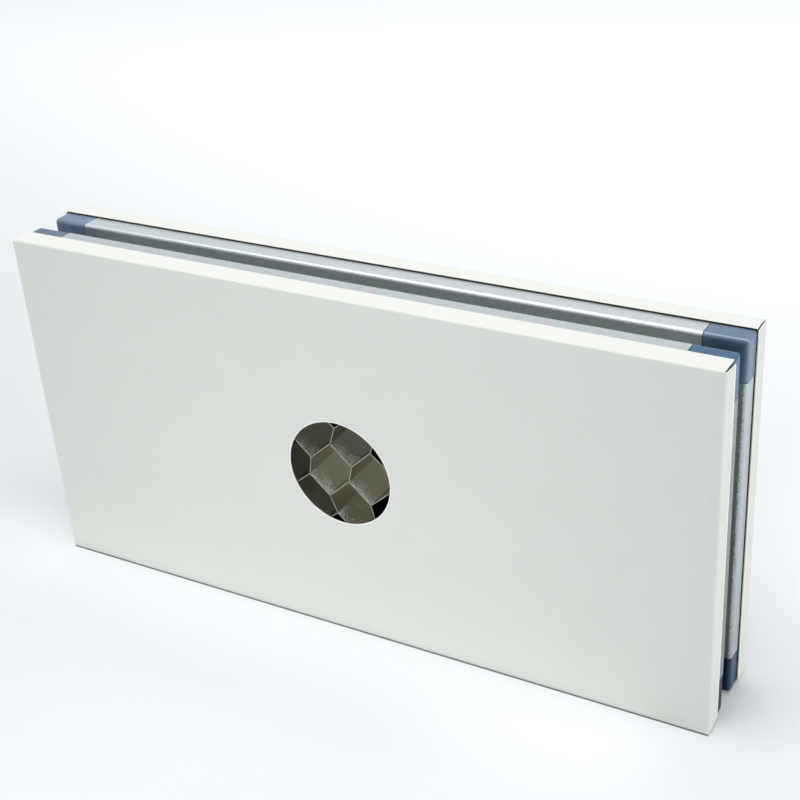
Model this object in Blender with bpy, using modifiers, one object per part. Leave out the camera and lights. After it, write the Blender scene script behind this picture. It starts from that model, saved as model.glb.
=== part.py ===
"""Sample of a hand-made clean-room wall panel with an aluminium honeycomb core.

Two painted steel skins with folded flanges face each other across the panel's thickness.
Between them stand four roll-formed galvanised keels, one along each side, whose middle is
pressed in to a groove that takes the joining strip of the next panel. A moulded plastic
connector fills each corner, plugs into the keels' hollow legs and carries the groove round
the corner. The honeycomb block fills the rest, and a round hole in the front skin shows it.

Metres, +Z up. The origin is at the middle of the base, the front skin faces -Y and the
panel's length runs along X.
"""
import math

import bmesh
import bpy
from mathutils import Vector

# Overall sizes of the panel
PANEL_LENGTH = 0.360
PANEL_HEIGHT = 0.180
PANEL_THICKNESS = 0.050

# Painted steel skins
SKIN_GAUGE = 0.0005
SKIN_INNER_BEND = 0.0005
FRONT_FLANGE = 0.0112
REAR_FLANGE = 0.0103
SAMPLE_HOLE_DIAMETER = 0.054
SAMPLE_HOLE_X = -0.0013

# Slits between the flanges at the skins' corners: how far they start behind the face, how
# much they take off each end of the long flanges, and how low the short ones begin and end
SLIT_START = 0.0003
SLIT_WIDTH = 0.0009
SLIT_DROP = 0.0006
FRONT_RELIEF = 0.0020
REAR_RELIEF = 0.0009

# Galvanised keels, rolled from one strip
KEEL_GAUGE = 0.0008
KEEL_INNER_BEND = 0.0008
KEEL_DEPTH = 0.0192
GROOVE_WIDTH = 0.0098
GROOVE_DEPTH = 0.014

# Moulded corner connectors, whose arms reach as far from the sides as the keels do
CONNECTOR_EDGE_RADIUS = 0.0020
CONNECTOR_CORNER_RADIUS = 0.0014
CONNECTOR_WALL = 0.0020
TONGUE_LENGTH = 0.015
TONGUE_DEPTH = 0.012
TONGUE_LEAD_IN = 0.0010

# Honeycomb: pitch along a row, pitch between rows, sideways shift of each row, and the
# short wall between two rows. The cells were pulled open by hand: they lean to the right
# down to the kink row, and to the left from there on.
CELL_PITCH = 0.0218
ROW_PITCH = 0.0188
ROW_SHIFT = 0.0082
SHORT_WALL_RISE = 0.0090
SHORT_WALL_LEAN = 0.0025
KINK_ROW = 2
FOIL_THICKNESS = 0.00035
FIRST_CELL_X = -0.0052
FIRST_CELL_RISE = 0.0149

# Clearances and finish
SEAT = 0.0003
CUT_MARGIN = 0.0010
BEND_SEGMENTS = 4
EDGE_SEGMENTS = 4
HOLE_SEGMENTS = 96
MERGE_DISTANCE = 0.00001
SHARP_ANGLE = math.radians(30)

# Worked out from the sizes above
SKIN_OUTER_BEND = SKIN_INNER_BEND + SKIN_GAUGE
KEEL_OUTER_BEND = KEEL_INNER_BEND + KEEL_GAUGE
RECESS = SKIN_GAUGE + SEAT
CONNECTOR_ARM = RECESS + KEEL_DEPTH
HALF_FILL = PANEL_THICKNESS / 2 - RECESS
TONGUE_INSET = KEEL_GAUGE + SEAT
CORE_INSET = CONNECTOR_ARM + SEAT

COLOURS = {
    "skin_paint": ((0.72, 0.74, 0.70, 1.0), 0.45, 0.0),
    "galvanised_steel": ((0.58, 0.63, 0.63, 1.0), 0.42, 0.9),
    "blue_plastic": ((0.09, 0.16, 0.26, 1.0), 0.40, 0.0),
    "aluminium_foil": ((0.62, 0.62, 0.58, 1.0), 0.30, 1.0),
}


def clear_scene():
    """Remove every object of the open file."""
    for thing in list(bpy.data.objects):
        bpy.data.objects.remove(thing, do_unlink=True)


def new_collection(name):
    """A collection linked to the scene."""
    collection = bpy.data.collections.new(name)
    bpy.context.scene.collection.children.link(collection)
    return collection


def new_material(name, material_name):
    """A Principled material with one of the panel's finishes."""
    colour, roughness, metallic = COLOURS[material_name]
    material = bpy.data.materials.new(name)
    material.use_nodes = True
    shader = material.node_tree.nodes["Principled BSDF"]
    shader.inputs["Base Color"].default_value = colour
    shader.inputs["Roughness"].default_value = roughness
    shader.inputs["Metallic"].default_value = metallic
    return material


def new_object(name, shape, collection):
    """Turn a bmesh into an object of the collection."""
    mesh = bpy.data.meshes.new(name)
    shape.to_mesh(mesh)
    shape.free()
    thing = bpy.data.objects.new(name, mesh)
    collection.objects.link(thing)
    return thing


def as_cutter(thing):
    """Show a tool object as a wire and keep it out of renders."""
    thing.hide_render = True
    thing.display_type = "WIRE"
    return thing


def block(low, high):
    """A box between two corners, as a bmesh."""
    low, high = Vector(low), Vector(high)
    shape = bmesh.new()
    bmesh.ops.create_cube(shape, size=1.0)
    for vert in shape.verts:
        share = vert.co + Vector((0.5, 0.5, 0.5))
        vert.co = Vector(low[k] + share[k] * (high[k] - low[k]) for k in range(3))
    return shape


def weigh_edges(shape, weight_of):
    """Store a bevel weight on each edge; weight_of takes the edge's middle and direction."""
    layer = shape.edges.layers.float.new("bevel_weight_edge")
    for edge in shape.edges:
        start, end = (vert.co for vert in edge.verts)
        edge[layer] = weight_of((start + end) / 2, (end - start).normalized())


def add_bevel(thing, width, segments):
    """Round the weighted edges."""
    bevel = thing.modifiers.new("bend", "BEVEL")
    bevel.width = width
    bevel.segments = segments
    bevel.limit_method = "WEIGHT"


def add_gauge(thing, gauge):
    """Give an open surface the sheet's thickness, on the side away from its normals."""
    solidify = thing.modifiers.new("gauge", "SOLIDIFY")
    solidify.thickness = gauge
    solidify.offset = -1.0
    solidify.use_even_offset = True


def add_boolean(thing, other, operation):
    """Cut with, join or keep the overlap with another object."""
    boolean = thing.modifiers.new(other.name, "BOOLEAN")
    boolean.operation = operation
    boolean.solver = "EXACT"
    boolean.object = other


def finished_mesh(thing, name):
    """The object's mesh with its modifiers applied, smooth but for its sharp edges."""
    bpy.context.view_layer.update()
    evaluated = thing.evaluated_get(bpy.context.evaluated_depsgraph_get())
    mesh = bpy.data.meshes.new_from_object(evaluated)
    mesh.name = name
    mesh.shade_smooth()
    mesh.set_sharp_from_angle(angle=SHARP_ANGLE)
    return mesh


def place(name, mesh, material_name, location, rotation=(0.0, 0.0, 0.0)):
    """Put a finished mesh into the panel as an object with its own material."""
    mesh.name = name
    mesh.materials.clear()
    mesh.materials.append(new_material(name, material_name))
    thing = bpy.data.objects.new(name, mesh)
    thing.location = location
    thing.rotation_euler = rotation
    PANEL.objects.link(thing)


def slit_cutter(name, flange, relief, side, at_top):
    """What is cut away at a skin's corner, between the long flange and the side flange.

    It takes the end off the long flange, and off the side flange a wedge that grows towards
    the free edge. It is made for the top right corner and mirrored to the others.
    """
    shape = bmesh.new()
    bmesh.ops.create_cube(shape, size=1.0)
    for vert in shape.verts:
        run = SLIT_START if vert.co.y < 0 else flange + CUT_MARGIN
        opened = (run - SLIT_START) / (flange - SLIT_START)
        drop = -CUT_MARGIN if vert.co.z > 0 else SLIT_DROP + (relief - SLIT_DROP) * opened
        inwards = -CUT_MARGIN if vert.co.x > 0 else SLIT_WIDTH
        height = PANEL_HEIGHT - drop if at_top else drop
        vert.co = (side * (PANEL_LENGTH / 2 - inwards), run, height)
    shape.normal_update()
    bmesh.ops.recalc_face_normals(shape, faces=shape.faces)
    return as_cutter(new_object(name, shape, TOOLS))


def hole_cutter(name):
    """The round hole cut through the front skin, half way up the panel."""
    shape = bmesh.new()
    bmesh.ops.create_cone(shape, cap_ends=True, segments=HOLE_SEGMENTS,
                          radius1=SAMPLE_HOLE_DIAMETER / 2, radius2=SAMPLE_HOLE_DIAMETER / 2,
                          depth=2 * (SKIN_GAUGE + CUT_MARGIN))
    for vert in shape.verts:
        x, y, z = vert.co
        vert.co = (SAMPLE_HOLE_X + x, z, PANEL_HEIGHT / 2 - y)
    bmesh.ops.recalc_face_normals(shape, faces=shape.faces)
    return as_cutter(new_object(name, shape, TOOLS))


def folded_skin(name, flange, relief, with_hole):
    """A sheet with four flanges: a box with one side open, bent edges and a sheet's gauge.

    It is made with its face at y = 0 and its flanges towards +Y.
    """
    shape = block((-PANEL_LENGTH / 2, 0, 0), (PANEL_LENGTH / 2, flange, PANEL_HEIGHT))
    bmesh.ops.delete(shape, geom=[f for f in shape.faces if f.normal.y > 0.5], context="FACES")
    weigh_edges(shape, lambda middle, way: float(middle.y < MERGE_DISTANCE))
    skin = new_object(name + "_blank", shape, TOOLS)
    as_cutter(skin)
    add_bevel(skin, SKIN_OUTER_BEND, BEND_SEGMENTS)
    add_gauge(skin, SKIN_GAUGE)
    for side in (-1, 1):
        for at_top in (True, False):
            label = f"{name}_slit_{'top' if at_top else 'bottom'}_{'right' if side > 0 else 'left'}"
            add_boolean(skin, slit_cutter(label, flange, relief, side, at_top), "DIFFERENCE")
    if with_hole:
        add_boolean(skin, hole_cutter(name + "_hole"), "DIFFERENCE")
    return finished_mesh(skin, name)


def rolled_keel(name, length):
    """One keel along X, its outer face at z = 0: half a section swept, mirrored, then bent.

    The section goes up the web against the skin, over the leg and down into the groove.
    """
    section = [
        (-HALF_FILL, -KEEL_DEPTH),
        (-HALF_FILL, 0.0),
        (-GROOVE_WIDTH / 2, 0.0),
        (-GROOVE_WIDTH / 2, -GROOVE_DEPTH),
        (0.0, -GROOVE_DEPTH),
    ]
    shape = bmesh.new()
    verts = [shape.verts.new((-length / 2, y, z)) for y, z in section]
    edges = [shape.edges.new(pair) for pair in zip(verts, verts[1:])]
    swept = bmesh.ops.extrude_edge_only(shape, edges=edges)["geom"]
    ends = [part for part in swept if isinstance(part, bmesh.types.BMVert)]
    bmesh.ops.translate(shape, vec=(length, 0, 0), verts=ends)
    shape.normal_update()
    leg = next(f for f in shape.faces if abs(f.calc_center_median().z) < MERGE_DISTANCE)
    if leg.normal.z < 0:
        bmesh.ops.reverse_faces(shape, faces=shape.faces)

    def bend_weight(middle, way):
        """Full on the bends that face out, and the inner radius on those of the groove's floor."""
        if abs(way.x) < 0.5 or middle.y > -MERGE_DISTANCE or middle.z < -KEEL_DEPTH + MERGE_DISTANCE:
            return 0.0
        return 1.0 if middle.z > -MERGE_DISTANCE else KEEL_INNER_BEND / KEEL_OUTER_BEND

    weigh_edges(shape, bend_weight)
    keel = as_cutter(new_object(name + "_half", shape, TOOLS))
    mirror = keel.modifiers.new("other leg", "MIRROR")
    mirror.use_axis = (False, True, False)
    mirror.use_mirror_merge = True
    mirror.merge_threshold = MERGE_DISTANCE
    add_bevel(keel, KEEL_OUTER_BEND, BEND_SEGMENTS)
    add_gauge(keel, KEEL_GAUGE)
    return finished_mesh(keel, name)


def connector_leg(arm):
    """One leg of the connector, rounded where the groove and the panel's corner meet it."""
    inner_y = -GROOVE_WIDTH / 2
    shape = block((-arm, -HALF_FILL, -arm), (0, inner_y, 0))

    def rounding(middle, way):
        """Full on the groove's edges, less on the outer corner, small inside the skin's bend."""
        outside = [abs(middle.x) < MERGE_DISTANCE, abs(middle.z) < MERGE_DISTANCE]
        if all(outside):
            return CONNECTOR_CORNER_RADIUS / CONNECTOR_EDGE_RADIUS
        if any(outside) and abs(middle.y - inner_y) < MERGE_DISTANCE:
            return 1.0
        if any(outside) and abs(middle.y + HALF_FILL) < MERGE_DISTANCE:
            return SKIN_INNER_BEND / CONNECTOR_EDGE_RADIUS
        return 0.0

    weigh_edges(shape, rounding)
    leg = as_cutter(new_object("connector_leg", shape, TOOLS))
    add_bevel(leg, CONNECTOR_EDGE_RADIUS, EDGE_SEGMENTS)
    return leg


def tongue(name, arm, downwards):
    """The plug that slides into a keel's hollow leg, cored out from its tip."""
    wide = (-HALF_FILL + TONGUE_INSET, -GROOVE_WIDTH / 2 - TONGUE_INSET)
    deep = (-TONGUE_INSET - TONGUE_DEPTH, -TONGUE_INSET)
    tip = -arm - TONGUE_LENGTH
    shape = block((tip, wide[0], deep[0]), (-arm + CONNECTOR_WALL, wide[1], deep[1]))
    root = -arm + CONNECTOR_WALL - MERGE_DISTANCE
    led_in = [edge for edge in shape.edges if min(vert.co.x for vert in edge.verts) < root]
    bmesh.ops.bevel(shape, geom=led_in, offset=TONGUE_LEAD_IN, segments=1, affect="EDGES")
    core = block((tip - CUT_MARGIN, wide[0] + CONNECTOR_WALL, deep[0] + CONNECTOR_WALL),
                 (-arm - CONNECTOR_WALL, wide[1] - CONNECTOR_WALL, deep[1] - CONNECTOR_WALL))
    parts = [shape, core]
    if downwards:
        for part in parts:
            for vert in part.verts:
                vert.co = (vert.co.z, vert.co.y, vert.co.x)
            bmesh.ops.reverse_faces(part, faces=part.faces)
    plug = as_cutter(new_object(name, parts[0], TOOLS))
    return plug, as_cutter(new_object(name + "_core", parts[1], TOOLS))


def moulded_connector(name):
    """A corner connector with its outer corner at the origin and its arms towards -X and -Z.

    Half of it is built on the -Y side: a leg, the bridge under the groove, and a tongue for
    each arm. The leg is cored out from the skin's side, and the half is mirrored.
    """
    arm = KEEL_DEPTH
    half = connector_leg(arm)
    bridge = block((-arm, -GROOVE_WIDTH / 2 - CONNECTOR_WALL, -arm),
                   (-GROOVE_DEPTH, CUT_MARGIN, -GROOVE_DEPTH))
    add_boolean(half, as_cutter(new_object(name + "_bridge", bridge, TOOLS)), "UNION")
    cores = []
    for label, downwards in (("tongue_along", False), ("tongue_down", True)):
        plug, core = tongue(label, arm, downwards)
        add_boolean(half, plug, "UNION")
        cores.append(core)
    rib_half = CONNECTOR_WALL / 2
    for label, low, high in (("upper", -arm / 2 + rib_half, -CONNECTOR_WALL),
                             ("lower", -arm + CONNECTOR_WALL, -arm / 2 - rib_half)):
        pocket = block((-arm + CONNECTOR_WALL, -HALF_FILL - CUT_MARGIN, low),
                       (-CONNECTOR_WALL, -GROOVE_WIDTH / 2 - CONNECTOR_WALL, high))
        cores.append(as_cutter(new_object(f"{name}_{label}_pocket", pocket, TOOLS)))
    for core in cores:
        add_boolean(half, core, "DIFFERENCE")
    mirror = half.modifiers.new("rear half", "MIRROR")
    mirror.use_axis = (False, True, False)
    mirror.use_bisect_axis = (False, True, False)
    mirror.use_bisect_flip_axis = (False, True, False)
    mirror.bisect_threshold = MERGE_DISTANCE
    mirror.use_mirror_merge = True
    mirror.merge_threshold = MERGE_DISTANCE
    return finished_mesh(half, name)


def honeycomb_walls(half_length, half_height):
    """The cells' walls as pairs of corner points in the panel's face, about its middle.

    Each cell gives two corners and three walls: one short wall up to the row above, one down
    to the right, which the foils share and which is glued, and one down to the left. Only
    walls with a corner inside the block are kept, and only those joined to the middle one.
    """
    rows = math.ceil(half_height / ROW_PITCH) + 2
    columns = math.ceil(half_length / CELL_PITCH) + rows + 2
    corner = {}
    for i in range(-columns, columns + 1):
        for j in range(-rows, rows + 1):
            kinked = max(0, j - KINK_ROW + 1)
            shift = (j - kinked) * ROW_SHIFT + kinked * (CELL_PITCH - ROW_SHIFT)
            x = FIRST_CELL_X + i * CELL_PITCH + shift
            z = FIRST_CELL_RISE - j * ROW_PITCH
            lean = -SHORT_WALL_LEAN if kinked else SHORT_WALL_LEAN
            corner["low", i, j] = (x, z)
            corner["high", i, j] = (x + lean, z + SHORT_WALL_RISE)
    walls = []
    for i in range(-columns + 1, columns + 1):
        for j in range(-rows, rows):
            for ends in ((i, j), (i, j + 1), (i - 1, j + 1)):
                walls.append((("low", i, j), ("high", *ends)))
    inside = {key for key, (x, z) in corner.items() if abs(x) < half_length and abs(z) < half_height}
    joined = {("low", 0, 0)}
    growing = True
    while growing:
        reached = {key for wall in walls if joined & set(wall) for key in wall if key in inside}
        growing = not reached <= joined
        joined |= reached
    return [(corner[a], corner[b]) for a, b in walls if a in joined or b in joined]


def honeycomb_core(name):
    """The block of cells: a network of walls, drawn out along Y, given the foil's thickness
    and trimmed to the space inside the keels."""
    half_length = PANEL_LENGTH / 2 - CORE_INSET
    half_height = PANEL_HEIGHT / 2 - CORE_INSET
    shape = bmesh.new()
    corners = {}
    edges = []
    for wall in honeycomb_walls(half_length, half_height):
        ends = []
        for x, z in wall:
            if (x, z) not in corners:
                corners[x, z] = shape.verts.new((x, -HALF_FILL, z))
            ends.append(corners[x, z])
        edges.append(shape.edges.new(ends))
    drawn = bmesh.ops.extrude_edge_only(shape, edges=edges)["geom"]
    far = [part for part in drawn if isinstance(part, bmesh.types.BMVert)]
    bmesh.ops.translate(shape, vec=(0, 2 * HALF_FILL, 0), verts=far)
    core = as_cutter(new_object(name + "_walls", shape, TOOLS))
    foil = core.modifiers.new("foil", "SOLIDIFY")
    foil.solidify_mode = "NON_MANIFOLD"
    foil.thickness = FOIL_THICKNESS
    foil.offset = 0.0
    foil.nonmanifold_merge_threshold = MERGE_DISTANCE
    trim = block((-half_length, -HALF_FILL - CUT_MARGIN, -half_height),
                 (half_length, HALF_FILL + CUT_MARGIN, half_height))
    add_boolean(core, as_cutter(new_object(name + "_trim", trim, TOOLS)), "INTERSECT")
    return finished_mesh(core, name)


clear_scene()
PANEL = new_collection("aluminium_honeycomb_panel")
TOOLS = new_collection("cutters")

half_thickness = PANEL_THICKNESS / 2
place("front_skin", folded_skin("front_skin", FRONT_FLANGE, FRONT_RELIEF, with_hole=True),
      "skin_paint", (0, -half_thickness, 0))
place("rear_skin", folded_skin("rear_skin", REAR_FLANGE, REAR_RELIEF, with_hole=False),
      "skin_paint", (0, half_thickness, 0), (0, 0, math.pi))

side_x = PANEL_LENGTH / 2 - RECESS
top_z = PANEL_HEIGHT - RECESS
along = PANEL_LENGTH - 2 * (CONNECTOR_ARM + SEAT)
upright = PANEL_HEIGHT - 2 * (CONNECTOR_ARM + SEAT)
place("keel_top", rolled_keel("keel_top", along),
      "galvanised_steel", (0, 0, top_z))
place("keel_bottom", rolled_keel("keel_bottom", along),
      "galvanised_steel", (0, 0, RECESS), (math.pi, 0, 0))
place("keel_right", rolled_keel("keel_right", upright),
      "galvanised_steel", (side_x, 0, PANEL_HEIGHT / 2), (0, math.pi / 2, 0))
place("keel_left", rolled_keel("keel_left", upright),
      "galvanised_steel", (-side_x, 0, PANEL_HEIGHT / 2), (0, -math.pi / 2, 0))

# One moulding serves all four corners: turned half round for the left side, and a quarter
# turn for the bottom.
connector = moulded_connector("connector")
for name, side, height, turn in (
        ("corner_top_right", 1, top_z, (0, 0, 0)),
        ("corner_top_left", -1, top_z, (0, 0, math.pi)),
        ("corner_bottom_right", 1, RECESS, (0, math.pi / 2, 0)),
        ("corner_bottom_left", -1, RECESS, (0, math.pi / 2, math.pi))):
    place(name, connector.copy(), "blue_plastic", (side * side_x, 0, height), turn)

place("honeycomb_core", honeycomb_core("honeycomb_core"), "aluminium_foil",
      (0, 0, PANEL_HEIGHT / 2))
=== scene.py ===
# %% [markdown]
# # A honeycomb wall panel on a white studio table
#
# The panel is a hand-made sandwich, of the kind that clean rooms are lined with: two painted
# steel skins, a galvanised frame with a groove for the joining strip of the next panel,
# plastic connectors in the corners and a core of aluminium foil cells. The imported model
# brings every solid at its true size. This notebook gives each of them its finish, draws the
# foil as foil, and lights the whole as a product photograph.

# %% Load the panel's solids
import math

import bpy
import numpy as np
from mathutils import Matrix, Vector


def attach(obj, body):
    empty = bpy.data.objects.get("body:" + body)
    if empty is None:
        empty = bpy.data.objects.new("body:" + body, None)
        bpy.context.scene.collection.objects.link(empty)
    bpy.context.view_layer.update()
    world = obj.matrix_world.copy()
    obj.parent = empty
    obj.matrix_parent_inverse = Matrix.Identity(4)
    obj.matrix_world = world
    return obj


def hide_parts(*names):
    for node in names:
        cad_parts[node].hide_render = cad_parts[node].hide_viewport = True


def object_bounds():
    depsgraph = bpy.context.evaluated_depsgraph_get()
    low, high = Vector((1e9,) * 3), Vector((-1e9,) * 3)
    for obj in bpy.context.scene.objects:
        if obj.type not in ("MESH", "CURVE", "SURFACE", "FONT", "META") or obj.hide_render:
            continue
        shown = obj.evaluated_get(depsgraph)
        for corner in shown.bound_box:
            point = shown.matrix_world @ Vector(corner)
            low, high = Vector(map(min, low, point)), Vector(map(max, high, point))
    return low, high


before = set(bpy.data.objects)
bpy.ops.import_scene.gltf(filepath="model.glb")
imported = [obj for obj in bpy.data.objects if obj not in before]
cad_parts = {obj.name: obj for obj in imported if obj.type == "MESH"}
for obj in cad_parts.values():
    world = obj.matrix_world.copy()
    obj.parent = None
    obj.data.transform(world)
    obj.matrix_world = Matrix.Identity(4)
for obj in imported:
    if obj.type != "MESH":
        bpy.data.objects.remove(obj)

CAD_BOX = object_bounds()
LOW, HIGH = (np.array(corner) for corner in CAD_BOX)
LENGTH, THICKNESS, HEIGHT = HIGH - LOW
print("panel of", np.round((LENGTH, THICKNESS, HEIGHT), 4), "m,", len(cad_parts), "solids")

# %% [markdown]
# ## The camera
#
# The picture is taken from the right and from above, with a short telephoto lens, and the
# camera leans a little. Those numbers come from fitting a pinhole camera to the panel's own
# corners, which is the surest way to get edges where the photograph has them. A camera can
# also be placed by eye, but then every edge is wrong by a little.

# %% Place the camera
LENS_MM = 66.20
SENSOR_MM = 36.0
SHIFT = (-0.0266, 0.0159)
CAMERA_PLACE = Vector((0.32893, -0.50526, 0.44439))
AZIMUTH = math.radians(30.607)
ELEVATION = math.radians(29.187)
ROLL = math.radians(-3.724)


def camera_axes(azimuth, elevation, roll):
    """Forward points in and down, right is level, up is square to both; then both turn by the roll."""
    forward = Vector((-math.sin(azimuth) * math.cos(elevation),
                      math.cos(azimuth) * math.cos(elevation), -math.sin(elevation)))
    level = Vector((math.cos(azimuth), math.sin(azimuth), 0))
    upright = level.cross(forward)
    right = math.cos(roll) * level + math.sin(roll) * upright
    up = math.cos(roll) * upright - math.sin(roll) * level
    return Matrix((right, up, -forward)).transposed()


camera = bpy.data.objects.new("camera", bpy.data.cameras.new("camera"))
camera.data.lens = LENS_MM
camera.data.sensor_width = SENSOR_MM
camera.data.shift_x, camera.data.shift_y = SHIFT
camera.data.clip_end = 50
camera.matrix_world = (Matrix.Translation(CAMERA_PLACE)
                       @ camera_axes(AZIMUTH, ELEVATION, ROLL).to_4x4())
bpy.context.scene.collection.objects.link(camera)
bpy.context.scene.camera = camera
bpy.context.scene.view_settings.view_transform = "Standard"
print("camera at", [round(c, 3) for c in CAMERA_PLACE], "with a", LENS_MM, "mm lens")

# %% [markdown]
# ## Meshes from arrays
#
# Every new surface is a grid of points worked out with numpy: rows go round the section,
# columns go along the piece. One helper turns such a grid into a mesh, so that the shapes
# below are only formulas.

# %% A helper that makes a mesh from a grid of points


def grid_faces(rows, columns, wrap_rows=False):
    """Quads between neighbours of a rows x columns grid, as an array of four indices each."""
    index = np.arange(rows * columns).reshape(rows, columns)
    if wrap_rows:
        index = np.vstack([index, index[:1]])
    return np.stack([index[:-1, :-1], index[:-1, 1:], index[1:, 1:], index[1:, :-1]], -1).reshape(-1, 4)


def mesh_object(name, points, faces, **maps):
    """A mesh object at the origin, with UV maps read from one value pair per point."""
    mesh = bpy.data.meshes.new(name)
    mesh.from_pydata(points.reshape(-1, 3).tolist(), [], [list(face) for face in faces])
    corners = np.zeros(len(mesh.loops), np.int32)
    mesh.loops.foreach_get("vertex_index", corners)
    for map_name, pairs in maps.items():
        layer = mesh.uv_layers.new(name=map_name)
        layer.data.foreach_set("uv", pairs.reshape(-1, 2)[corners].astype(np.float32).ravel())
    thing = bpy.data.objects.new(name, mesh)
    bpy.context.scene.collection.objects.link(thing)
    return thing


print("helpers ready")

# %% [markdown]
# ## Materials as small node graphs
#
# Paint, zinc, plastic and foil all start as a Principled shader. What sets them apart is
# fine: grain, a mark here and there, a pale edge. The helper below keeps the graphs short:
# it adds a node, sets its values and joins its inputs in one call. Patterns read the
# object's own coordinates, in metres, so that their scale is the real one. Only the foil's
# follow a map of its own.

# %% A helper that writes node graphs


class Graph:
    """A material whose nodes are added one call at a time."""

    def __init__(self, name):
        self.material = bpy.data.materials.new(name)
        self.material.use_nodes = True
        self.tree = self.material.node_tree
        self.shader = self.tree.nodes["Principled BSDF"]
        self.place = self.add("TexCoord").outputs["Object"]

    def add(self, kind, inputs=None, **settings):
        """Add a node; inputs holds numbers, colours or the outputs of other nodes."""
        node = self.tree.nodes.new("ShaderNode" + kind)
        for key, value in settings.items():
            setattr(node, key, value)
        for key, value in (inputs or {}).items():
            self.put(node.inputs[key], value)
        return node

    def put(self, socket, value):
        """Join an output to a socket, or set the socket's own value."""
        if isinstance(value, bpy.types.NodeSocket):
            self.tree.links.new(value, socket)
        else:
            socket.default_value = value

    def maths(self, operation, first, second=0.0, third=0.0, clamp=False):
        """One sum, product or comparison of numbers."""
        node = self.add("Math", {0: first, 1: second, 2: third}, operation=operation, use_clamp=clamp)
        return node.outputs[0]

    def ramp(self, value, start, end, low=0.0, high=1.0):
        """A smooth step: low below start, high above end."""
        node = self.add("MapRange", {"Value": value, "From Min": start, "From Max": end,
                                     "To Min": low, "To Max": high}, interpolation_type="SMOOTHSTEP")
        return node.outputs[0]

    def noise(self, scale, detail=2.0, stretch=(1, 1, 1), place=None, roughness=0.5):
        """Cloudy noise, with about one lump in every 1/scale metres along each axis."""
        moved = self.add("Mapping", {"Vector": place or self.place, "Scale": stretch})
        return self.add("TexNoise", {"Vector": moved.outputs[0], "Scale": scale, "Detail": detail,
                                     "Roughness": roughness}).outputs["Fac"]

    def blend(self, share, first, second):
        """Mix two colours."""
        node = self.add("Mix", data_type="RGBA")
        for socket, value in ((node.inputs[0], share), (node.inputs[6], first), (node.inputs[7], second)):
            self.put(socket, value)
        return node.outputs[2]

    def scaled(self, colour, factor):
        """A colour made brighter or darker."""
        return self.add("VectorMath", {0: colour, "Scale": factor}, operation="SCALE").outputs[0]

    def parts(self):
        """The x, y and z of a point on the piece."""
        node = self.add("SeparateXYZ", {0: self.place})
        return node.outputs[0], node.outputs[1], node.outputs[2]

    def groove_depth(self):
        """How far a point lies inside the panel's outline, seen from the front."""
        x, _, z = self.parts()
        from_side = self.maths("SUBTRACT", LENGTH / 2, self.maths("ABSOLUTE", x))
        from_middle = self.maths("ABSOLUTE", self.maths("SUBTRACT", z, HEIGHT / 2))
        return self.maths("MINIMUM", from_side, self.maths("SUBTRACT", HEIGHT / 2, from_middle))

    def bump(self, height, depth):
        """Relief of a given depth in metres."""
        return self.add("Bump", {"Height": height, "Distance": depth, "Strength": 1.0}).outputs[0]

    def finish(self, **sockets):
        """Fill in the Principled shader's sockets, named with _ for a space."""
        for key, value in sockets.items():
            self.put(self.shader.inputs[key.replace("_", " ")], value)
        return self.material


def dress(material, *nodes):
    """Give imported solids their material."""
    for node in nodes:
        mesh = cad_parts[node].data
        mesh.materials.clear()
        mesh.materials.append(material)


print("graph helper ready")

# %% [markdown]
# ## The painted skins
#
# The skins are folded from coil that was painted before it was cut. The paint is a satin
# grey-white with the faint orange peel of a roller coat. The cut shows wherever the sheet
# ends: the flanges' free edges are pale, partly as a painted highlight, and a cream strip a
# millimetre wide beside them is a painted highlight too, except along the top, where the edge
# is painted dark as shade. A whitish ring round the hole is a painted highlight. Such lines
# are too thin to be worth geometry, so the material draws them by the distance from the
# edge. The front skin has a few faint upright scuffs close to its right bend.

# %% Paint for the skins
PAINT = (0.745, 0.765, 0.715, 1)
CUT_EDGE_AND_HIGHLIGHT = (0.97, 0.96, 0.82, 1)
EDGE_SHADE = (0.05, 0.055, 0.045, 1)
RIM_HIGHLIGHT = (0.97, 0.96, 0.90, 1)
RIM_WIDTH = 0.0004
HOLE_RADIUS = 0.027
HOLE_X = -0.0013
FRONT_FLANGE, REAR_FLANGE = 0.0112, 0.0103
FRONT_FLANGE_END = -THICKNESS / 2 + FRONT_FLANGE
REAR_FLANGE_END = THICKNESS / 2 - REAR_FLANGE
EDGE_BAND = 0.00003


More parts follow.
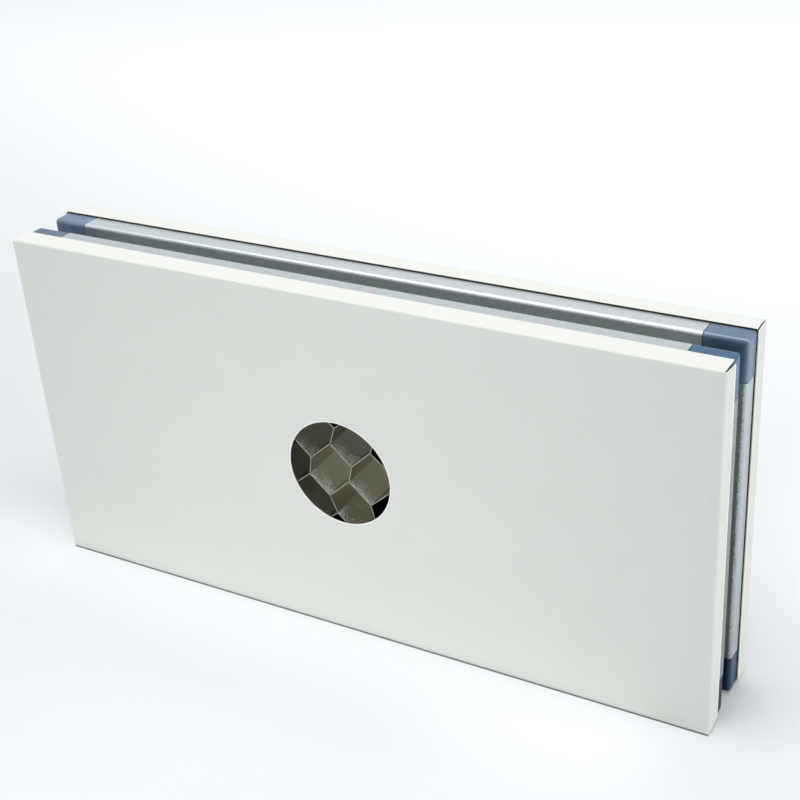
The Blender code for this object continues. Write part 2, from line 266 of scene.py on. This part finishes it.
def skin_paint(name, flange_end, towards, hole=False):
    """Satin paint with orange peel; past_end is how far a point lies beyond the flange's free edge."""
    graph = Graph(name)
    x, y, z = graph.parts()
    past_end = graph.maths("MULTIPLY", graph.maths("SUBTRACT", y, flange_end), towards)
    bare = graph.ramp(past_end, -EDGE_BAND, -EDGE_BAND / 2)
    # Painted highlight: a cream strip beside the free edge, except along the top, where the edge is painted
    # dark as shade.
    on_top = graph.ramp(z, HEIGHT - 0.0012, HEIGHT - 0.0008)
    edge_highlight = graph.maths("MULTIPLY", graph.ramp(past_end, -0.0012, -0.0009),
                       graph.maths("SUBTRACT", 1.0, on_top))
    tone = graph.maths("MULTIPLY_ADD", graph.noise(45, 3), 0.035, 0.9825)
    if hole:
        up = graph.maths("SUBTRACT", z, HEIGHT / 2)
        across = graph.maths("SUBTRACT", x, HOLE_X)
        radius = graph.maths("SQRT", graph.maths("ADD", graph.maths("MULTIPLY", across, across),
                                                 graph.maths("MULTIPLY", up, up)))
        # Painted highlight: a whitish ring round the hole.
        rim = graph.ramp(radius, HOLE_RADIUS + RIM_WIDTH, HOLE_RADIUS + 1.5 * RIM_WIDTH, 1.0, 0.0)
        scuffed = graph.ramp(graph.noise(900, 2, (1, 1, 0.03)), 0.56, 0.68)
        beside_bend = graph.maths("MULTIPLY", graph.ramp(x, 0.1745, 0.1765), graph.ramp(z, 0.09, 0.13))
        patchy = graph.ramp(graph.noise(70, 1), 0.45, 0.6)
        marks = graph.maths("MULTIPLY", scuffed, graph.maths("MULTIPLY", beside_bend, patchy))
        tone = graph.maths("MULTIPLY_ADD", marks, -0.16, tone)
    painted = graph.scaled(PAINT[:3], tone)
    colour = graph.blend(bare, graph.blend(edge_highlight, painted, CUT_EDGE_AND_HIGHLIGHT),
                         graph.blend(on_top, CUT_EDGE_AND_HIGHLIGHT, EDGE_SHADE))
    if hole:
        colour = graph.blend(rim, colour, RIM_HIGHLIGHT)
    peel = graph.noise(900, 2)
    return graph.finish(Base_Color=colour, Specular_IOR_Level=0.2, Normal=graph.bump(peel, 0.000012),
                        Roughness=graph.maths("MULTIPLY_ADD", graph.noise(300, 2), 0.10, 0.33))


dress(skin_paint("front_skin_paint", FRONT_FLANGE_END, 1, hole=True), "front_skin")
dress(skin_paint("rear_skin_paint", REAR_FLANGE_END, -1), "rear_skin")
print("two skins painted")

# %% [markdown]
# ## The galvanised keels
#
# Hot-dip zinc that has been rolled flat has no large flowers. It has a fine mottle, cells of
# one or two millimetres that differ a little in tone and gloss, and long faint lines left
# by the rollers. A Voronoi pattern gives the cells and stretched noise gives the lines.
# Deep in the groove the zinc is stained and painted dark as shade, though hardly in the top
# keel, and noise roughens the border. In the upright grooves it has also gone dull and
# greenish, with dark spots, so it is less of a mirror there. The legs of a keel are painted
# unequally bright as light and shade, the zinc is painted darker towards the bottom and on
# the groove's rounded edge, and the upright keels get a darker, bluer shaded copy of it. A
# painted shade line lies between the rear leg and its skin.

# %% Zinc for the keels
WARM_ZINC = (0.735, 0.77, 0.765, 1), (0.57, 0.605, 0.60, 1)
DULL_ZINC = (0.76, 0.83, 0.78, 1)
SHADED_ZINC = (0.70, 0.77, 0.815, 1), (0.54, 0.605, 0.64, 1)
PALE_STAIN_AND_SHADE = (0.50, 0.56, 0.53, 1)
DARK_STAIN_AND_SHADE = (0.22, 0.27, 0.255, 1)
LEG_BORDER = 0.004


def galvanised(name, along, shades, front, rear, stain_and_shade, seam_shade, dull):
    """Zinc whose tone adds up cells, cloud and roller lines; front and rear paint light and shade on each
    leg.
    """
    graph = Graph(name)
    warped = graph.add("VectorMath", {0: graph.place}, operation="ADD")
    wobble = graph.add("TexNoise", {"Vector": graph.place, "Scale": 500, "Detail": 2}).outputs["Color"]
    small = graph.add("VectorMath", {0: wobble, "Scale": 0.0012}, operation="SCALE")
    graph.put(warped.inputs[1], small.outputs[0])
    cells = graph.add("TexVoronoi", {"Vector": warped.outputs[0], "Scale": 620}).outputs["Color"]
    cell_tone = graph.add("SeparateColor", {0: cells}).outputs[0]
    stretch = tuple(0.02 if axis == along else 1 for axis in range(3))
    lines = graph.noise(1500, 2, stretch)
    cloud = graph.noise(140, 3)
    tone = graph.maths("MULTIPLY_ADD", cell_tone, 0.45, graph.maths("MULTIPLY", cloud, 0.45))
    tone = graph.maths("MULTIPLY_ADD", lines, 0.25, tone, clamp=True)
    relief = graph.maths("ADD", graph.maths("MULTIPLY", cell_tone, 0.5), lines)
    _, y, z = graph.parts()
    # Painted light and shade: front and rear set each leg's brightness, and the zinc is darker towards the
    # bottom.
    level = graph.maths("MULTIPLY", graph.ramp(y, -LEG_BORDER, LEG_BORDER, front, rear),
                        graph.ramp(z, 0, HEIGHT, 0.84, 1))
    zinc = graph.scaled(graph.blend(tone, shades[1], shades[0]), level)
    depth = graph.groove_depth()
    # Painted shade on the groove's rounded edge.
    zinc = graph.scaled(zinc, graph.ramp(depth, 0.0002, 0.0014, 1.0, 0.75))
    if dull:
        inside = graph.ramp(depth, 0.0012, 0.0026)
        zinc = graph.blend(inside, zinc, DULL_ZINC)
        spots = graph.ramp(graph.noise(1300, 2, roughness=0.7), 0.46, 0.58, 0.0, 0.55)
        zinc = graph.blend(graph.maths("MULTIPLY", spots, inside), zinc, stain_and_shade)
    # Painted shade deep in the groove, with a speckled stain in it.
    speckled = graph.maths("MULTIPLY_ADD", graph.noise(1500, 3, roughness=0.7), 0.008, depth)
    groove_shade = graph.maths("MULTIPLY", graph.ramp(speckled, 0.0057, 0.0063),
                       graph.ramp(z, 0.06, 0.145, 0.85, 0.08 + dull))
    zinc = graph.blend(groove_shade, zinc, stain_and_shade)
    # Painted shade: a dark line on the rear leg where it meets its skin.
    zinc = graph.blend(graph.ramp(y, REAR_FLANGE_END - seam_shade, REAR_FLANGE_END - seam_shade / 2), zinc, EDGE_SHADE)
    metal = graph.ramp(depth, 0.0020, 0.0050, 0.9, 0.9 - dull) if dull else 0.9
    return graph.finish(Base_Color=zinc, Metallic=metal,
                        Roughness=graph.maths("MULTIPLY_ADD", tone, -0.14, 0.50),
                        Normal=graph.bump(relief, 0.000010))


# The upright keels get a darker, bluer shaded copy of the zinc; front and rear are painted light and shade.
dress(galvanised("galvanised_along", 0, WARM_ZINC, 0.92, 1.05, PALE_STAIN_AND_SHADE, seam_shade=0.0002, dull=0.0),
      "keel_top", "keel_bottom")
dress(galvanised("galvanised_upright_shaded", 2, SHADED_ZINC, 0.52, 0.90, DARK_STAIN_AND_SHADE, seam_shade=0.0014, dull=0.7),
      "keel_left", "keel_right")
print("four keels galvanised")

# %% [markdown]
# ## The corner connectors
#
# They are injection moulded in slate blue with a satin, spark-eroded skin. The plastic lets
# a trace of light in, so its colour is never quite even, and a painted highlight, a pale,
# glossier line, runs along the rounded edges. The two legs are painted in different blues as
# light and shade, the bottom connectors are a darker and duller shaded copy of the top ones,
# the colour is painted darker as shade in the groove, and painted shade darkens them next to
# the skins. One function with those colours as its arguments makes all of them.

# %% Plastic for the connectors
SCRATCHED_BLUE = (0.25, 0.32, 0.42, 1)
HIGHLIGHT_BLUE = (0.36, 0.48, 0.60, 1)
FLANGE_SHADE_COLOUR = (0.012, 0.010, 0.012, 1)
HIGHLIGHT_LINE = 0.0060


def blue_plastic(name, front, rear, groove_shade, gloss, highlight_strength):
    """Satin plastic: grain, clouds and tiny scratches; the colour is scaled down as painted shade in the
    groove.
    """
    graph = Graph(name)
    cloud = graph.noise(90, 3)
    grain = graph.noise(2600, 2)
    y = graph.parts()[1]
    colour = graph.blend(graph.ramp(y, -LEG_BORDER, LEG_BORDER), front, rear)
    colour = graph.scaled(colour, graph.ramp(cloud, 0.3, 0.7, 0.88, 1.08))
    scratched = graph.ramp(graph.noise(1100, 2, (1, 0.15, 0.15)), 0.68, 0.78)
    colour = graph.blend(graph.maths("MULTIPLY", scratched, 0.25), colour, SCRATCHED_BLUE)
    depth = graph.groove_depth()
    # Painted highlight: a pale, glossier line along the rounded edges of the groove.
    from_line = graph.maths("ABSOLUTE", graph.maths("SUBTRACT", graph.maths("ABSOLUTE", y), HIGHLIGHT_LINE))
    bevel_highlight = graph.maths("MULTIPLY", graph.ramp(from_line, 0.0002, 0.0005, 1.0, 0.0),
                         graph.ramp(depth, 0.0012, 0.0016, 1.0, 0.0))
    # Painted shade in the groove.
    colour = graph.scaled(colour, graph.ramp(depth, 0.0010, 0.0045, 1.0, groove_shade))
    colour = graph.blend(graph.maths("MULTIPLY", bevel_highlight, highlight_strength), colour, HIGHLIGHT_BLUE)
    # Painted shade next to the skins, under the front flange and along the rear one.
    glued = graph.maths("ADD", graph.ramp(y, FRONT_FLANGE_END - 0.004, FRONT_FLANGE_END - 0.001, 1.0, 0.0),
                        graph.ramp(y, REAR_FLANGE_END - 0.0003, REAR_FLANGE_END))
    colour = graph.blend(glued, colour, FLANGE_SHADE_COLOUR)
    rough = graph.maths("MULTIPLY_ADD", bevel_highlight, -0.10, graph.maths("MULTIPLY_ADD", cloud, 0.10, 0.22))
    return graph.finish(Base_Color=colour, Roughness=rough, Specular_IOR_Level=gloss,
                        Normal=graph.bump(grain, 0.000008))


# Leg colours are painted light and shade; the low connectors are a darker, duller shaded copy.
dress(blue_plastic("connector_top_right", (0.045, 0.110, 0.210, 1), (0.132, 0.196, 0.284, 1),
                   groove_shade=0.65, gloss=0.3, highlight_strength=0.45), "corner_top_right")
dress(blue_plastic("connector_top_left", (0.080, 0.138, 0.225, 1), (0.165, 0.230, 0.335, 1),
                   groove_shade=0.95, gloss=0.3, highlight_strength=0.10), "corner_top_left")
dress(blue_plastic("connector_low_shaded", (0.008, 0.022, 0.045, 1), (0.036, 0.072, 0.130, 1),
                   groove_shade=0.3, gloss=0.05, highlight_strength=0.06), "corner_bottom_left", "corner_bottom_right")
print("four connectors moulded")

# %% [markdown]
# ## The honeycomb's corners
#
# An expanded honeycomb starts as a stack of flat foils, glued to each other along strips and
# then pulled open. By hand it never opens evenly. The cells follow a lattice with two kinds
# of corner, one at the foot and one at the head of each short wall. The cells lean to the
# right down to the kink row, and to the left from there on. Every corner gets a small pull of
# its own, and those behind the hole are pulled to where the photograph shows them.

# %% Work out the corners
CELL_PITCH = 0.0218
ROW_PITCH = 0.0188
ROW_SHIFT = 0.0082
SHORT_WALL = np.array((0.0025, 0.0090))
KINK_ROW = 2
FIRST_FOOT = np.array((-0.0052, 0.0149))
ROWS = 6
COLUMNS = 18
HAND_PULL = 0.00035
SEEN_FEET = {(0, 0): (-0.0055, 0.0148), (1, 0): (0.0159, 0.0147), (0, 1): (0.0031, -0.0036),
             (-1, 1): (-0.0185, -0.0044), (1, 1): (0.0257, -0.0038), (-1, 2): (-0.0048, -0.0228),
             (0, 2): (0.0161, -0.0228)}
SEEN_HEADS = {(0, 0): (-0.0023, 0.0236), (1, 0): (0.0198, 0.0236), (0, 1): (0.0053, 0.0048),
              (-1, 1): (-0.0167, 0.0050), (1, 1): (0.0277, 0.0050), (-1, 2): (-0.0082, -0.0140),
              (0, 2): (0.0142, -0.0139), (-2, 2): (-0.0296, -0.0137), (-1, 3): (0.0050, -0.0324)}

column, row = np.meshgrid(np.arange(-COLUMNS, COLUMNS + 1), np.arange(-ROWS, ROWS + 1), indexing="ij")
kinked = np.maximum(0, row - KINK_ROW + 1)
shift = (row - kinked) * ROW_SHIFT + kinked * (CELL_PITCH - ROW_SHIFT)
lean = np.where(kinked > 0, -SHORT_WALL[0], SHORT_WALL[0])
pulls = np.random.default_rng(7).normal(0, HAND_PULL, (2,) + column.shape + (2,))
lattice = FIRST_FOOT + np.stack([column * CELL_PITCH + shift, -row * ROW_PITCH], -1)
feet = lattice + pulls[0]
heads = lattice + np.stack([lean, np.full(lean.shape, SHORT_WALL[1])], -1) + pulls[1]
for corners, seen in ((feet, SEEN_FEET), (heads, SEEN_HEADS)):
    for (i, j), spot in seen.items():
        corners[i + COLUMNS, j + ROWS] = spot
print(feet.shape[0] * feet.shape[1], "cells laid out,",
      len(SEEN_FEET) + len(SEEN_HEADS), "corners set by the photograph")

# %% [markdown]
# ## One foil's path
#
# Each foil zigzags through the block: along a glued strip, across an open wall, along the
# next glued strip on the other side, down a short wall, and again. On a glued strip it lies
# half a foil beside the neighbour's. Its bends are round, because foil doesn't crease, so
# every corner becomes a short curve. Each point also carries the share of light in the cell
# on either side of it: nearly all in the middle of the hole, less behind its rim, and hardly
# any where the skin covers the cell.

# %% Trace a foil through the corners
FOIL = 0.00010
GLUE = 0.00002
BEND = 0.0011
BEND_STEPS = np.linspace(0, 1, 6)[:, None]
FRAME_REACH = 0.0203
CORE_HALF = np.array((LENGTH / 2 - FRAME_REACH, HEIGHT / 2 - FRAME_REACH))


def unit(vectors):
    """Vectors of length one."""
    return vectors / np.linalg.norm(vectors, axis=-1, keepdims=True)


CELL_CENTRES = (feet[:-1] + heads[:-1] + feet[1:] + heads[1:]) / 4
REACH = np.linalg.norm(CELL_CENTRES - (HOLE_X, 0), axis=-1)
LIGHT = np.interp(REACH, (0.015, 0.027, 0.030, 0.0301), (0.86, 0.66, 0.66, 0.12))


def foil_corners(number):
    """The corners of one foil in order, on which side its glued neighbour lies, and the cells' light."""
    rows = np.arange(-ROWS, ROWS - 1)
    i, j = rows + number + COLUMNS, rows + ROWS
    kept = (i > 0) & (i < 2 * COLUMNS)
    i, j = i[kept], j[kept]
    loop = np.stack([feet[i, j], heads[i, j + 1], feet[i + 1, j], heads[i + 1, j + 1]], 1)
    along = unit(loop[:, [1, 3]] - loop[:, [0, 2]])
    across = np.stack([-along[..., 1], along[..., 0]], -1)
    beside = np.array((1, -1))[None, :, None] * (FOIL + GLUE) / 2 * across
    loop = loop + np.repeat(beside, 2, axis=1)
    side = np.tile((-1, -1, 1, 1), len(loop))
    last = np.minimum(i + 1, len(LIGHT) - 1)
    above = np.stack([LIGHT[i, j], LIGHT[i, j], LIGHT[last, j], LIGHT[last, j + 1]], 1)
    below = np.stack([LIGHT[i - 1, j + 1], LIGHT[i, j + 1], LIGHT[i, j + 1], LIGHT[i, j + 1]], 1)
    return loop.reshape(-1, 2), side, np.stack([above, below], -1).reshape(-1, 2)


def rounded(corners, side, light):
    """Each inner corner becomes a curve: start and end lie on its two walls, the corner pulls."""
    here, before, after = corners[1:-1], corners[:-2], corners[2:]
    start = here + BEND * unit(before - here)
    end = here + BEND * unit(after - here)
    t = BEND_STEPS[None]
    curve = ((1 - t) ** 2 * start[:, None] + 2 * t * (1 - t) * here[:, None] + t ** 2 * end[:, None])
    glued_after = (np.arange(len(corners)) % 2 == 0)[1:-1]
    middle = len(BEND_STEPS) // 2
    glued = np.zeros(curve.shape[:2], int)
    glued[glued_after, middle:] = side[1:-1][glued_after, None]
    glued[~glued_after, :middle] = side[1:-1][~glued_after, None]
    lit = np.repeat(light[1:-1, None], len(BEND_STEPS), 1)
    lit[:, :middle] = light[:-2, None]
    return curve.reshape(-1, 2), glued.reshape(-1), lit.reshape(-1, 2)


path, glued, lit = rounded(*foil_corners(0))
print("foil 0 runs through", len(path), "points")

# %% [markdown]
# ## The block of foils
#
# A foil is its path carried through the panel's depth, with a front and a back edge. The saw
# that cut the block left a fine burr along both edges, and the burr is what the eye reads as
# the pale outline of each cell. The section is a loop of eight points, so each foil is a
# closed body. The block is trimmed where the keels' inner faces are. Two maps go with it:
# one unrolls the foil, and the other, Marks, holds the light and where the foil is bonded.

# %% Build the foils
SKIN_AND_GLUE = 0.0008
DEPTH_HALF = THICKNESS / 2 - SKIN_AND_GLUE
BURR_DEEP = 0.00020
BURR = 0.00004


def runs_inside(points):
    """Split a path into the runs that lie inside the block, each ended on the block's side."""
    inside = (np.abs(points) < CORE_HALF).all(1)
    edges = np.flatnonzero(np.diff(inside.astype(int)))
    for start, end in zip(np.append(0, edges + 1), np.append(edges, len(points) - 1)):
        if inside[start] and end - start > 3:
            yield start, end


def cut_point(inner, outer):
    """Where the line from an inner to an outer point crosses the block's side."""
    step = outer - inner
    room = np.where(step > 0, CORE_HALF - inner, -CORE_HALF - inner)
    share = np.min(np.where(np.abs(step) > 1e-9, room / np.where(step == 0, 1, step), 9))
    return inner + share * step


def foil_body(points, glued, lit):
    """Carry the path through the depth: ring k is the section at point k, wide at the burrs."""
    tangent = unit(np.gradient(points, axis=0))
    across = np.stack([-tangent[:, 1], tangent[:, 0]], -1)
    left = FOIL / 2 + BURR * (glued != 1)
    right = FOIL / 2 + BURR * (glued != -1)
    wall = np.full(len(points), FOIL / 2)
    depth = DEPTH_HALF * np.array((-1, -1, 1, 1, 1, 1, -1, -1)) \
        + BURR_DEEP * np.array((0, 1, -1, 0, 0, -1, 1, 0))
    reach = np.stack([left, wall, wall, left, -right, -wall, -wall, -right])
    spot = points[None] + reach[..., None] * across[None]
    section = np.stack([spot[..., 0], np.repeat(depth[:, None], len(points), 1),
                        spot[..., 1] + HEIGHT / 2], -1)
    travelled = np.append(0, np.cumsum(np.linalg.norm(np.diff(points, axis=0), axis=1)))
    uv = np.stack([np.repeat(travelled[None], 8, 0), section[..., 1]], -1)
    marks = np.stack([np.repeat(lit.T, 4, 0), np.repeat(np.abs(glued)[None], 8, 0)], -1)
    return section, uv, marks


all_points, all_uv, all_marks, all_faces, count = [], [], [], [], 0
for number in range(-COLUMNS, COLUMNS):
    path, glued, lit = rounded(*foil_corners(number))
    for start, end in runs_inside(path):
        run, run_glued, run_lit = path[start:end + 1].copy(), glued[start:end + 1], lit[start:end + 1]
        if start > 0:
            run[0] = cut_point(run[1], path[start - 1])
        if end < len(path) - 1:
            run[-1] = cut_point(run[-2], path[end + 1])
        section, uv, marks = foil_body(run, run_glued, run_lit)
        rings = len(run)
        faces = grid_faces(8, rings, wrap_rows=True) + count
        caps = [list(count + np.arange(8) * rings), list(count + np.arange(8)[::-1] * rings + rings - 1)]
        all_points.append(section.reshape(-1, 3))
        all_uv.append(uv.reshape(-1, 2))
        all_marks.append(marks.reshape(-1, 2))
        all_faces += faces.tolist() + caps
        count += 8 * rings
core = mesh_object("foil_core", np.concatenate(all_points), all_faces,
                   UVMap=np.concatenate(all_uv), Marks=np.concatenate(all_marks))
core.data.shade_smooth()
core.data.set_sharp_from_angle(angle=math.radians(35))
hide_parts("honeycomb_core")
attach(core, "root")
print(len(all_points), "foils,", len(core.data.polygons), "faces")

# %% [markdown]
# ## Bright foil
#
# Rolled foil is a soft mirror with streaks along its length. On the bonded walls, where two
# foils lie together, it is crinkled near the front and catches the light in specks. Streaks
# and specks follow each foil, so they read its first map, where u is the distance along the
# foil and v the depth. The second map dims the cells that little light reaches: a clean
# model hands light on from mirror to mirror, and real foil is rough enough to lose it.

# %% Foil material
FOIL_COLOUR = (0.90, 0.88, 0.77, 1)
FOIL_BRIGHT = (0.93, 0.93, 0.90, 1)
FOIL_EDGE = (0.66, 0.64, 0.54, 1)


def bright_foil(name):
    """A rough mirror with streaks; crinkled is 1 where noise plus nearness to the front passes a level."""
    graph = Graph(name)
    y = graph.parts()[1]
    uv = graph.add("UVMap", uv_map="UVMap").outputs[0]
    streaks = graph.noise(700, 3, (0.12, 1, 1), uv)
    marks = graph.add("SeparateXYZ", {0: graph.add("UVMap", uv_map="Marks").outputs[0]})
    light, bonded = marks.outputs[0], marks.outputs[1]
    patches = graph.noise(1300, 3, (1, 0.6, 1), uv, 0.8)
    areas = graph.noise(160, 1, (1, 1, 1), uv)
    near_front = graph.ramp(y, -DEPTH_HALF, -DEPTH_HALF + 0.020, 0.17, -0.06)
    crinkled = graph.ramp(graph.maths("ADD", patches, graph.maths("MULTIPLY_ADD", areas, 0.3, near_front)),
                          0.79, 0.85)
    crinkled = graph.maths("MULTIPLY", crinkled, bonded)
    edge = graph.ramp(y, -DEPTH_HALF + BURR_DEEP * 0.5, -DEPTH_HALF + BURR_DEEP, 1.0, 0.0)
    colour = graph.blend(crinkled, FOIL_COLOUR, FOIL_BRIGHT)
    colour = graph.scaled(colour, light)
    colour = graph.blend(edge, colour, FOIL_EDGE)
    relief = graph.maths("MULTIPLY_ADD", crinkled, 1.5, graph.maths("MULTIPLY", streaks, 0.12))
    return graph.finish(Base_Color=colour, Metallic=graph.maths("MULTIPLY_ADD", crinkled, -0.5, 1.0),
                        Roughness=graph.maths("MULTIPLY_ADD", streaks, 0.10, 0.20),
                        Normal=graph.bump(relief, 0.00006))


core.data.materials.append(bright_foil("bright_foil"))
print("foil finished")

# %% [markdown]
# ## The table and the light
#
# The panel stands on white board that runs far back, so there is no horizon. One large soft
# light hangs overhead, a small one stands low in front for the face, and one far to the
# right reaches into the groove. The board is a pale grey, which keeps the soft shadows, and
# the camera and mirrors see it lifted towards white: more and more with the distance, and
# in a painted glow close in front of the panel and on its right. A white board would also
# throw more light back on the foot of the face, so a thin strip of light lies before it, which
# neither the camera nor mirrors see. The lift would hide the thin dark line under the front
# skin, so the line is drawn as a painted contact shadow. The room's own light is weak, but it
# too looks white to the camera and in reflections.

# %% Lay the table
BOARD_GREY = (0.675, 0.71, 0.725)
LINE_WIDTH = 0.0006
u, v = np.meshgrid(np.linspace(-6, 6, 25), np.linspace(-4, 10, 29))
table = mesh_object("table", np.stack([u, v, np.full_like(u, -0.00005)], -1), grid_faces(29, 25))
board = Graph("white_board")
x, y, z = board.parts()
sideways = board.maths("ABSOLUTE", x)
outwards = board.maths("MAXIMUM", sideways, board.maths("MULTIPLY", y, -1.0))
away = board.maths("MAXIMUM", y, board.maths("MULTIPLY_ADD", outwards, 0.5, -0.10))
far = board.maths("ADD", board.ramp(away, -0.10, 0.85, 0.025, 0.52),
                  board.ramp(outwards, 1.2, 3.0, 0.0, 0.5))
along = board.maths("SUBTRACT", sideways, LENGTH / 2)
before = board.maths("MULTIPLY", board.ramp(y, -THICKNESS / 2 - 0.07, -THICKNESS / 2),
                     board.ramp(y, -THICKNESS / 2, THICKNESS / 2, 1.0, 0.0))
beside = board.maths("MULTIPLY", board.ramp(x, -0.30, -0.18), board.ramp(x, 0.13, 0.19, 1.0, 0.1))
bounce = board.maths("MULTIPLY", board.maths("MULTIPLY", before, beside), 0.20)
side_glow = board.ramp(x, 0.13, 0.19, 0.0, 0.085)
near_glow = board.maths("MULTIPLY", board.ramp(x, 0.03, 0.13, 0.0, 0.075),
                        board.ramp(y, -0.14, -0.07))
glow = board.add("Mix", {0: board.ramp(y, -0.06, -0.02), 2: near_glow, 3: side_glow}).outputs[0]
bounce = board.maths("ADD", bounce, glow)
# Painted contact shadow: a thin dark line under the front skin's bottom edge.
ahead = board.maths("ABSOLUTE", board.maths("ADD", y, THICKNESS / 2 - 0.0004))
contact_shadow = board.maths("MAXIMUM", board.ramp(ahead, LINE_WIDTH, 1.5 * LINE_WIDTH),
                      board.ramp(along, -LINE_WIDTH, 0.0))
contact_shadow = board.maths("MULTIPLY_ADD", contact_shadow, 0.7, 0.3)
board.finish(Base_Color=board.scaled(BOARD_GREY, contact_shadow), Roughness=0.6)
board.put(board.shader.inputs["Emission Color"], (1, 1, 1, 1))
seen = board.add("LightPath")
direct = board.maths("MAXIMUM", seen.outputs["Is Camera Ray"], seen.outputs["Is Glossy Ray"])
lifted = board.maths("MULTIPLY", board.maths("ADD", far, bounce), contact_shadow)
board.put(board.shader.inputs["Emission Strength"], board.maths("MULTIPLY", direct, lifted))
table.data.materials.append(board.material)
print("table", u.shape, "points")

# %% Hang the lights


def soft_light(name, place, aim, width, height, power, colour=(1, 1, 1)):
    """A rectangular light that faces a point."""
    lamp = bpy.data.lights.new(name, "AREA")
    lamp.shape = "RECTANGLE"
    lamp.size, lamp.size_y = width, height
    lamp.energy = power
    lamp.color = colour
    thing = bpy.data.objects.new(name, lamp)
    thing.location = place
    thing.rotation_euler = (Vector(aim) - Vector(place)).to_track_quat("-Z", "Y").to_euler()
    bpy.context.scene.collection.objects.link(thing)
    return thing


CENTRE = (0, 0, HEIGHT / 2)
ROOM_COLOUR = (0.90, 0.955, 1.03, 1)
ROOM_LIGHT, MIRRORED_LIGHT, ADDED_FOR_CAMERA = 0.21, 0.85, 0.84
soft_light("overhead", (-0.05, -0.1, 1.5), CENTRE, 1.4, 1.4, 24, (1.02, 1.0, 0.995))
soft_light("front", (-0.03, -0.47, 0.07), CENTRE, 0.3, 0.2, 0.70)
soft_light("right", (1.8, 0.1, 0.32), CENTRE, 1.0, 0.6, 13)
returned = soft_light("returned", (-0.03, -0.0425, 0.0005), (-0.03, -0.0425, 1), 0.36, 0.03, 0.011)
returned.visible_camera = returned.visible_glossy = False
world = bpy.data.worlds.new("studio")
world.use_nodes = True
room = world.node_tree
sky = room.nodes["Background"]
sky.inputs["Color"].default_value = ROOM_COLOUR
rays = room.nodes.new("ShaderNodeLightPath")
mirrored = room.nodes.new("ShaderNodeMapRange")
mirrored.inputs["To Min"].default_value = ROOM_LIGHT
mirrored.inputs["To Max"].default_value = MIRRORED_LIGHT
room.links.new(rays.outputs["Is Glossy Ray"], mirrored.inputs["Value"])
strength = room.nodes.new("ShaderNodeMath")
strength.operation = "MULTIPLY_ADD"
strength.inputs[1].default_value = ADDED_FOR_CAMERA
room.links.new(rays.outputs["Is Camera Ray"], strength.inputs[0])
room.links.new(mirrored.outputs[0], strength.inputs[2])
room.links.new(strength.outputs[0], sky.inputs["Strength"])
bpy.context.scene.world = world
print("four lights and the room")
